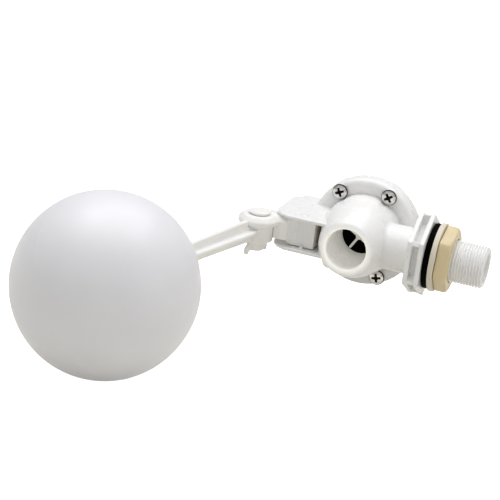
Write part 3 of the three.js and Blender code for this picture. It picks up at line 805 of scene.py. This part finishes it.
def cover_screws():
    """Four bright screws, with painted shade in the recess and a painted dark reflection round the side of
    the head.
    """
    points, faces, normals = skin(screw_field(), (-14.6, -5, -5), (HEAD_LONG, 5, 5), 0.16)
    middles = points[faces].mean(axis=1)
    q = np.hypot(middles[:, Y], middles[:, Z])
    dome_at = HEAD_LONG - HEAD_DOME_R + np.sqrt(HEAD_DOME_R**2 - np.minimum(q, SCREW_HEAD_R) ** 2)
    # Faces that get the painted shade: the cross recess, and the side of the head for its painted dark
    # reflection.
    in_recess = (q < RECESS_R + 0.1) & (middles[:, X] > 0) & (middles[:, X] < dome_at - 0.12)
    side = (q > SCREW_HEAD_R - 0.45) & (middles[:, X] < HEAD_LONG - 0.5)
    steels = [STEEL, STEEL_PAINTED_SHADE]
    for name, place, turn in zip(SCREWS, SCREW_PLACES, RECESS_TURNS):
        seat = Vector((place[X], FRONT - 0.1 - GAP, place[Z]))
        turned = Matrix.Translation(seat) @ Matrix.Rotation(-math.pi / 2, 4, "Z")
        turned = turned @ Matrix.Rotation(math.radians(turn), 4, "X")
        made = piece(name, points, faces, "valve", steels, "stainless", [name], normals, place=turned)
        made.data.polygons.foreach_set("material_index", (in_recess | side).astype(np.int32))


def cover_nuts():
    """Chamfered hexagon nuts in the pockets of the cover."""
    outside = prism(X, hexagon(NUT_R), -NUT_HALF, NUT_HALF, corner=0.2, edge=0.1)
    chamfered = common(outside, sphere((0, 0, 0), NUT_R + 0.15), edge=0.1)
    field = cut(chamfered, drum(X, (0, 0, 0), SCREW_HOLE_R, -PAST, PAST, 0), edge=0.3)
    points, faces, normals = skin(field, (-NUT_HALF, -5, -5), (NUT_HALF, 5, 5), 0.2)
    for i in range(4):
        name = f"cover_nut_{i + 1}"
        place = axis_frame(Y, middle(name))
        piece(name, points, faces, "valve", STEEL, "stainless", [name], normals, place=place)


# ---- Inside the valve ----
def turned_piece(name, profile, axis, centre, body, material, slot, soft=0.3, closed=True, facets=96):
    """A piece swept round an axis, standing for the CAD node of the same name."""
    points, faces = lathe(softened(profile, soft), facets, closed)
    piece(name, points, faces, body, material, slot, [name], sharp=40, place=axis_frame(axis, centre))


def flat_ring(name, inner, body, material, slot, soft):
    """A plain ring that fills a CAD node's place along Y."""
    low, high = span(name)
    outer = high[X]
    profile = [(inner, low[Y]), (outer, low[Y]), (outer, high[Y]), (inner, high[Y])]
    turned_piece(name, profile, Y, (0, 0, 0), body, material, slot, soft)


VANE_TURNS = [59, 149]
STEM_R = 2.7
STEM_HOLE_R = STEM_R + GAP


def main_valve():
    """The disc that closes on the seat, with its plate, its vaned guide and the nut that clamps them."""
    flat_ring("seat_disc", STEM_HOLE_R, "main_valve", RUBBER_BLACK, "rubber_black", 0.3)
    flat_ring("backing_plate", STEM_HOLE_R, "main_valve", BODY_WHITE, "body_white", 0.4)
    low, high = span("vane_guide")
    foot = span("seat_disc")[0][Y] - GAP
    stem = drum(Y, (0, 0, 0), STEM_R, foot - 1, high[Y], 0.3)
    vane = box((-9.8, low[Y], -0.75), (9.8, foot, 0.75), 0.35)
    vanes = [turned_about(Y, -turn, (0, 0, 0), vane) for turn in VANE_TURNS]
    hub = drum(Y, (0, 0, 0), 1.9, low[Y], foot, 0.4)
    field = joined(hub, *vanes, stem, fillet=0.5)
    moulded("vane_guide", field, low, high, 0.25, "main_valve", BODY_WHITE, "body_white")
    centre = middle("guide_nut")
    low, high = span("guide_nut")
    nut = common(prism(Y, hexagon(5.2), low[Y], high[Y], 0.3, 0.2), sphere(centre, 5.3), edge=0.2)
    nut = cut(nut, drum(Y, (0, 0, 0), STEM_HOLE_R, low[Y] - 2, high[Y] + 2, 0))
    moulded("guide_nut", nut, low, high, 0.25, "main_valve", STEEL, "stainless")


def diaphragm():
    """The rolling ring, with its bead held between body and cover."""
    y = PARTING
    rim, bead, web, roll, inner = BEAD_GROOVE_R - GAP, 24, 23.4, 18.3, 16.2
    half, thick = 1.4, 1.2
    profile = [
        (rim, y - half),
        (rim, y + half),
        (bead, y + half),
        (web, y + 0.7),
        (20.4, y + 0.5),
        (roll, y + 1.6),
        (inner, y),
        (inner, y - 3),
        (inner + thick, y - 3),
        (inner + thick, y - 0.6),
        (roll, y + 0.2),
        (20, y - 0.9),
        (web, y - 0.7),
        (bead, y - half),
    ]
    turned_piece("diaphragm", profile[::-1], Y, (0, 0, 0), "valve", RUBBER_BLACK, "rubber_black", 0.6)


def closing_spring():
    """Three coils of round wire between the backing plate and the cover."""
    low, high = span("closing_spring")
    wire, coil, turns, around, steps = 0.5, 8.5, 3.0, 12, 160
    points, faces = [], []
    for i in range(steps + 1):
        angle = 2 * math.pi * turns * i / steps
        out = Vector((math.cos(angle), 0, math.sin(angle)))
        along = low[Y] + wire + (high[Y] - low[Y] - 2 * wire) * i / steps
        for j in range(around):
            tilt = 2 * math.pi * j / around
            spot = out * (coil + wire * math.cos(tilt)) + Vector((0, along + wire * math.sin(tilt), 0))
            points.append(tuple(spot))
    for i in range(steps):
        for j in range(around):
            k = (j + 1) % around
            faces.append([i * around + j, i * around + k, (i + 1) * around + k, (i + 1) * around + j])
    faces.append(list(range(around))[::-1])
    faces.append([steps * around + j for j in range(around)])
    piece("closing_spring", points, faces, "valve", STEEL, "stainless", ["closing_spring"], sharp=60)


def pilot_nozzle():
    low, high = span("pilot_nozzle")
    bore = 0.6
    profile = [(bore, low[X]), (1.2, low[X]), (1.9, low[X] + 0.9), (2.0, high[X]), (bore, high[X])]
    centre = (0, middle("pilot_nozzle")[Y], 0)
    turned_piece("pilot_nozzle", profile, X, centre, "valve", BRASS, "brass", 0.1, facets=40)


# ---- Inlet fittings ----
NUT_TURN = -13  # degrees, as the nut was left after tightening
RING_BORE = THREAD_R + GAP


def inlet_rings():
    """The gasket against the collar, and the loose washer between gasket and nut."""
    for name, material, slot, soft in (
        ("inlet_gasket", RUBBER_BLACK, "rubber_black", 0.9),
        ("inlet_washer", WASHER_PALE, "washer_pale", 0.5),
    ):
        low, high = span(name)
        outer = high[Z]
        profile = [(RING_BORE, low[X]), (outer, low[X]), (outer, high[X]), (RING_BORE, high[X])]
        body = "valve" if name == "inlet_gasket" else "inlet_washer"
        turned_piece(name, profile, X, (0, SHANK[Y], 0), body, material, slot, soft, facets=128)


def mounting_nut():
    """A hexagon nut, turned round at its outer end and countersunk."""
    low, high = span("mounting_nut")
    radius = 21.1
    outside = prism(X, hexagon(radius, (SHANK[Y], 0), 90 + NUT_TURN), low[X], high[X], 1.6, 0.4)
    rounding = drum(X, SHANK, radius - 0.35, low[X] - WELL_PAST, high[X], 3.6)
    bore = drum(X, SHANK, RING_BORE, low[X] - 2, high[X] + 2, 0)
    mouth = drum(X, SHANK, RING_BORE - 0.9, high[X] - 1.4, high[X] + 0.6, 0, taper=2.2)
    field = cut(common(outside, rounding, edge=1.2), bore, mouth, edge=0.3)
    moulded("mounting_nut", field, low, high, 0.35, "mounting_nut", NUT_CREAM, "nut_cream")


# ---- Lever ----
CAP_R = 12.9
CAP_LOW = 3.0
CAP_TOP = 8.5
CAP_CHAMFER = 2.9
HUB_R = 10.0
HUB_LOW = -8.5
BOLT_R = 3.0
PANEL = (-35.6, -29.6)  # from left to right on the front of the block
STEP = (-42, -39.2)


def knuckle_cap():
    """The disc over the float arm, with a wide chamfer round its top."""
    wide = CAP_R + CAP_TOP - CAP_CHAMFER

    def chamfer(p):
        out = np.hypot(p[X] - KNUCKLE[X], p[Y] - KNUCKLE[Y])
        return (out + p[Z] - wide) * math.sqrt(0.5)

    return common(drum(Z, KNUCKLE, CAP_R, CAP_LOW, CAP_TOP, 0.5), chamfer, edge=0.6)


def lever_neck():
    """The bar from the block to the cap, with the same chamfer along its front."""
    front, back = KNUCKLE[Y] - 0.3, PIVOT[Y] + 6
    outline = [(-55, front), (-41, front), (-38, PIVOT[Y] - 3), (-38, back), (-55, back)]
    bar = prism(Z, outline, -5.6, CAP_TOP, corner=1.5, edge=0.8)
    bar = cut(bar, drum(Z, KNUCKLE, HUB_R + GAP, HUB_LOW - 2, CAP_LOW, 0))
    bridge = box((KNUCKLE[X], front, CAP_LOW), (-46, back, CAP_TOP), 0.8)

    def chamfer(p):
        return (p[Z] - CAP_TOP + CAP_CHAMFER - p[Y] + front) * math.sqrt(0.5)

    return common(joined(bar, bridge, fillet=0.6), chamfer, edge=0.6)


def lever():
    """Block on the pivot pin, neck, and the cap that the float arm is clamped under."""
    front, back = PIVOT[Y] - 3, PIVOT[Y] + 22
    outline = [
        (LEVER_HIGH[X], front),
        (LEVER_HIGH[X], PIVOT[Y] + 10),
        (PIVOT[X], back),
        (PIVOT[X] - 9.4, back),
        (PIVOT[X] - 9.4, front),
    ]
    half = LEVER_HIGH[Z]
    block = prism(Z, outline, -half, half, corner=0.9, edge=0.6)
    panel = box((PANEL[0], front - 3, -half - 1), (PANEL[1], front + 0.25, half + 1), 0.2)
    step = box((STEP[0], front - 3, -half - 1), (STEP[1], front + 0.5, half + 1), 0.3)
    block = cut(block, panel, step, edge=0.5)
    whole = joined(block, joined(lever_neck(), knuckle_cap(), fillet=0.5), fillet=1.0)
    pad_low, pad_high = span("pilot_pad")
    pad_room = box(pad_low - GAP, pad_high + np.array([3, GAP, GAP]), 0.1)
    pin_hole = drum(Z, PIVOT, PIN_HOLE_R, -THROUGH, THROUGH, 0)
    bolt_hole = drum(Z, KNUCKLE, BOLT_R + GAP, -THROUGH, THROUGH, 0)
    field = cut(whole, pin_hole, bolt_hole, pad_room)
    field = common(field, box(LEVER_LOW, LEVER_HIGH, 0.1), edge=0.3)
    moulded("lever", field, LEVER_LOW, LEVER_HIGH, 0.35, "lever", ARM_WHITE, "arm_white")


def pilot_pad():
    low, high = span("pilot_pad")
    moulded("pilot_pad", box(low, high, 0.5), low, high, 0.3, "lever", RUBBER_BROWN, "rubber_brown")


def clevis_pin():
    low, high = span("clevis_pin")
    radius = (high - low)[X] / 2
    profile = [(0, high[Z]), (radius, high[Z]), (radius, low[Z]), (0, low[Z])]
    centre = (PIVOT[X], PIVOT[Y], 0)
    turned_piece("clevis_pin", profile[::-1], Z, centre, "lever", ARM_WHITE, "arm_white", 0.4, False, 48)


def knuckle_bolt():
    low, high = span("knuckle_bolt")
    head = drum(Z, KNUCKLE, high[X] - KNUCKLE[X], CAP_TOP + GAP, high[Z], 0.6)
    shank = drum(Z, KNUCKLE, BOLT_R, low[Z], CAP_TOP + 1, 0.4)
    field = joined(head, shank, fillet=0.3)
    moulded("knuckle_bolt", field, low, high, 0.25, "lever", ARM_WHITE, "arm_white")


# ---- Float arm, wing nut and ball ----
ARM_TURN = math.atan2(BALL[Y] - KNUCKLE[Y], BALL[X] - KNUCKLE[X])
ARM_FRAME = Matrix.Translation(Vector((KNUCKLE[X], KNUCKLE[Y], 0))) @ Matrix.Rotation(ARM_TURN, 4, "Z")
TO_BALL = math.hypot(BALL[X] - KNUCKLE[X], BALL[Y] - KNUCKLE[Y])
BALL_NEAR = TO_BALL - BALL_R
ROD_Z = BALL[Z]
WEB_HALF = 1.6
PEG_R = 4.0
SOCKET_R = PEG_R + GAP
SOCKET_DEEP = 14
NECK_R = 9  # where the ball's wall turns in to the socket


def float_arm():
    """Clamped disc and a rod of two crossed webs, drawn along +X from the knuckle."""
    origin = (0, 0, 0)
    hub = drum(Z, origin, HUB_R, HUB_LOW, CAP_LOW - GAP, 0.8)
    start, wide_at, end = 5, 14, BALL_NEAR - 4
    flat = prism(
        Z,
        [(start, -6), (wide_at, -6.6), (end, -5.8), (end, 5.8), (wide_at, 6.6), (start, 6)],
        ROD_Z - WEB_HALF,
        ROD_Z + WEB_HALF,
        corner=1.4,
        edge=1.4,
    )
    upright = prism(
        Y,
        [
            (start, HUB_LOW + 0.1),
            (wide_at, ROD_Z - 7),
            (end, ROD_Z - 5.8),
            (end, ROD_Z + 6.2),
            (14.4, ROD_Z + 8),
            (13.4, ROD_Z + 7),
            (13.4, CAP_LOW - GAP - 0.1),
            (start, CAP_LOW - GAP - 0.1),
        ],
        -WEB_HALF,
        WEB_HALF,
        corner=0.6,
        edge=1.1,
    )
    centre = (0, 0, ROD_Z)
    stop = drum(X, centre, 6.8, BALL_NEAR - 6, BALL_NEAR - 0.6, 0.6)
    peg = drum(X, centre, PEG_R, BALL_NEAR - 2, BALL_NEAR + SOCKET_DEEP, 0.6)
    whole = joined(joined(flat, upright, fillet=1.0), hub, stop, peg, fillet=1.0)
    field = cut(whole, drum(Z, origin, BOLT_R + GAP, -THROUGH, THROUGH, 0))
    low, high = (-HUB_R, -HUB_R, HUB_LOW), (BALL_NEAR + SOCKET_DEEP, HUB_R, ROD_Z + 8.2)
    moulded("float_arm", field, low, high, 0.4, "float_arm", ARM_WHITE, "arm_white", place=ARM_FRAME)


WING_TURN = 69.6  # degrees from +X to the ears


def wing_nut():
    """A tapered boss with two ears that reach down and out, bored from above for the bolt."""
    top = HUB_LOW - GAP
    hub = drum(Z, (0, 0, 0), 5.0, top - 6.4, top, 0.8, taper=2.0)
    ear = prism(
        Y,
        [
            (3, top - 5.6), (6.6, top - 6.6), (7.9, top - 8.5), (9.6, top - 8.5), (10.4, top - 7),
            (10.4, top - 5), (9.5, top - 3.4), (7.8, top - 2.2), (6.4, top - 0.8), (3, top - 0.6),
        ],
        -1.2,
        1.2,
        corner=0.9,
        edge=0.8,
    )
    ears = [turned_about(Z, turn, (0, 0, 0), ear) for turn in (0, 180)]
    bore = drum(Z, (0, 0, 0), BOLT_R + GAP, top - 5.6, top + 3, 0)
    field = cut(joined(hub, *ears, fillet=1.0), bore)
    place = Matrix.Translation(Vector((KNUCKLE[X], KNUCKLE[Y], 0)))
    place = place @ Matrix.Rotation(math.radians(WING_TURN), 4, "Z")
    low, high = (-11, -8, top - 8.6), (11, 8, top)
    moulded("wing_nut", field, low, high, 0.3, "wing_nut", ARM_WHITE, "arm_white", place=place)


SEAM_TILT = 29.8  # degrees from upright to the plane of the ball's mould line
SEAM_HIGH = 0.1
SEAM_WIDE = 0.35


def float_ball():
    """A blown ball with a mould line through its neck and a blind hole for the arm."""
    rim_at = math.asin(NECK_R / BALL_R)
    rim_high = BALL_R * math.cos(rim_at)
    profile = [(0, BALL_R - SOCKET_DEEP), (4.0, BALL_R - SOCKET_DEEP), (SOCKET_R, BALL_R - SOCKET_DEEP + 0.4)]
    profile += [(SOCKET_R, rim_high - 0.6), (SOCKET_R + 0.6, rim_high)]
    profile += [(BALL_R * math.sin(a), BALL_R * math.cos(a)) for a in np.linspace(rim_at, math.pi, 150)[:-1]]
    profile += [(0, -BALL_R)]
    even = np.arange(180) * 2
    beside = np.array([-0.9, -0.65, -0.45, -0.3, -0.15, 0.15, 0.3, 0.45, 0.65, 0.9])
    angles = np.radians(np.sort(np.concatenate([even, beside, beside + 180])))
    points, faces, rows = [], [], []
    for radius, along in profile:
        if radius == 0:
            rows.append([len(points)] * len(angles))
            points.append((along, 0, 0))
            continue
        rows.append(list(range(len(points), len(points) + len(angles))))
        for angle in angles:
            aside = radius * math.sin(angle)
            out = 1 + SEAM_HIGH / BALL_R * math.exp(-((aside / SEAM_WIDE) ** 2)) * (radius > NECK_R + 0.5)
            points.append((along * out, radius * math.cos(angle) * out, aside * out))
    for low, high in zip(rows, rows[1:]):
        for i in range(len(angles)):
            j = (i + 1) % len(angles)
            faces.append(list(dict.fromkeys([low[i], high[i], high[j], low[j]])))
    facing = Matrix.Rotation(math.pi, 4, "Z") @ Matrix.Rotation(math.radians(90 - SEAM_TILT), 4, "X")
    place = ARM_FRAME @ Matrix.Translation(Vector((TO_BALL, 0, ROD_Z))) @ facing
    name = "float_ball"
    piece(name, points, faces, "float_arm", BALL_WHITE, "ball_white", [name], sharp=35, place=place)


# ---- Stage, light and camera ----
AZIMUTH, ELEVATION, ROLL = (math.radians(a) for a in (18.3, 19.82, 6.94))
AIM = Vector((-0.0671, -0.0395, -0.0219))
DISTANCE = 0.9
LENS = 101.4
SURROUND = 0.38
OVERHEAD = 9.0  # watts, as the other lamps
HIGHLIGHT = 0.5
FRONT_FILL = 1.5
SIDE_FILL = 2.1
FLOOR_BOUNCE = (0.67, 0.645, 0.585)
MIRRORED = 0.4  # how bright the floor is in reflections


def camera():
    data = bpy.data.cameras.new("camera")
    data.lens = LENS
    data.clip_start = 0.01
    made = bpy.data.objects.new("camera", data)
    bpy.context.scene.collection.objects.link(made)
    level = Vector((math.cos(AZIMUTH), math.sin(AZIMUTH), 0))
    back = Vector((
        math.sin(AZIMUTH) * math.cos(ELEVATION),
        -math.cos(AZIMUTH) * math.cos(ELEVATION),
        math.sin(ELEVATION),
    ))
    upright = back.cross(level)
    right = level * math.cos(ROLL) + upright * math.sin(ROLL)
    up = upright * math.cos(ROLL) - level * math.sin(ROLL)
    turn = Matrix((right, up, back)).transposed()
    made.matrix_world = Matrix.Translation(AIM + back * DISTANCE) @ turn.to_4x4()
    bpy.context.scene.camera = made


def softbox(name, place, aim, size, watts, colour=(1, 1, 1)):
    data = bpy.data.lights.new(name, "AREA")
    data.shape = "RECTANGLE"
    data.size, data.size_y = size
    data.energy = watts
    data.color = colour
    made = bpy.data.objects.new(name, data)
    bpy.context.scene.collection.objects.link(made)
    made.location = place
    made.rotation_mode = "QUATERNION"
    made.rotation_quaternion = (Vector(aim) - Vector(place)).to_track_quat("-Z", "Y")


def floor():
    """A plane that the camera sees as pure white, that mirrors grey and bounces warm light upwards."""
    low = cad_box[0]
    mesh = bpy.data.meshes.new("floor")
    wide = 6.0
    under = low.z - 0.0005
    mesh.from_pydata([(-wide, -wide, under), (wide, -wide, under), (wide, wide, under), (-wide, wide, under)],
                     [], [(0, 1, 2, 3)])
    material = bpy.data.materials.new("floor")
    material.use_nodes = True
    shader = material.node_tree.nodes["Principled BSDF"]
    shader.inputs["Base Color"].default_value = (*FLOOR_BOUNCE, 1)
    shader.inputs["Roughness"].default_value = 1.0
    shader.inputs["Specular IOR Level"].default_value = 0
    shader.inputs["Emission Color"].default_value = (1, 1, 1, 1)
    path = material.node_tree.nodes.new("ShaderNodeLightPath")
    seen = ranged(material.node_tree, path.outputs["Is Camera Ray"], 0.0, 1.0, 0, 1)
    mirrored = ranged(material.node_tree, path.outputs["Is Glossy Ray"], 0.0, MIRRORED, 0, 1)
    glow = material.node_tree.nodes.new("ShaderNodeMath")
    material.node_tree.links.new(seen, glow.inputs[0])
    material.node_tree.links.new(mirrored, glow.inputs[1])
    material.node_tree.links.new(glow.outputs["Value"], shader.inputs["Emission Strength"])
    mesh.materials.append(material)
    made = bpy.data.objects.new("floor", mesh)
    bpy.context.scene.collection.objects.link(made)


def studio():
    """A softbox overhead, fills in front and at the side, two small ones for highlights on the ball."""
    scene = bpy.context.scene
    scene.view_settings.view_transform = "Standard"
    world = bpy.data.worlds.new("studio")
    scene.world = world
    world.use_nodes = True
    world.node_tree.nodes["Background"].inputs["Color"].default_value = (1.0, 1.0, 1.0, 1)
    world.node_tree.nodes["Background"].inputs["Strength"].default_value = SURROUND
    aim = Vector((-0.05, -0.06, 0))
    softbox("overhead", aim + Vector((-0.12, 0.16, 1.0)), aim, (1.4, 1.0), OVERHEAD, (0.98, 0.98, 1.0))
    softbox("front", aim + Vector((-0.1, -1.2, 0.3)), aim, (1.6, 0.9), FRONT_FILL)
    softbox("side", aim + Vector((1.2, -0.25, 0.3)), aim, (0.8, 0.8), SIDE_FILL)
    ball = Vector(BALL) * MM
    softbox("left", ball + Vector((-0.315, 0.207, 0.928)) * 0.9, ball, (0.16, 0.1), HIGHLIGHT)
    softbox("right", ball + Vector((0.370, 0.232, 0.900)) * 0.9, ball, (0.16, 0.1), HIGHLIGHT)


valve_body()
inlet_thread()
rear_cover()
cover_screws()
cover_nuts()
main_valve()
diaphragm()
closing_spring()
pilot_nozzle()
inlet_rings()
mounting_nut()
lever()
pilot_pad()
clevis_pin()
knuckle_bolt()
float_arm()
wing_nut()
float_ball()
floor()
studio()
camera()
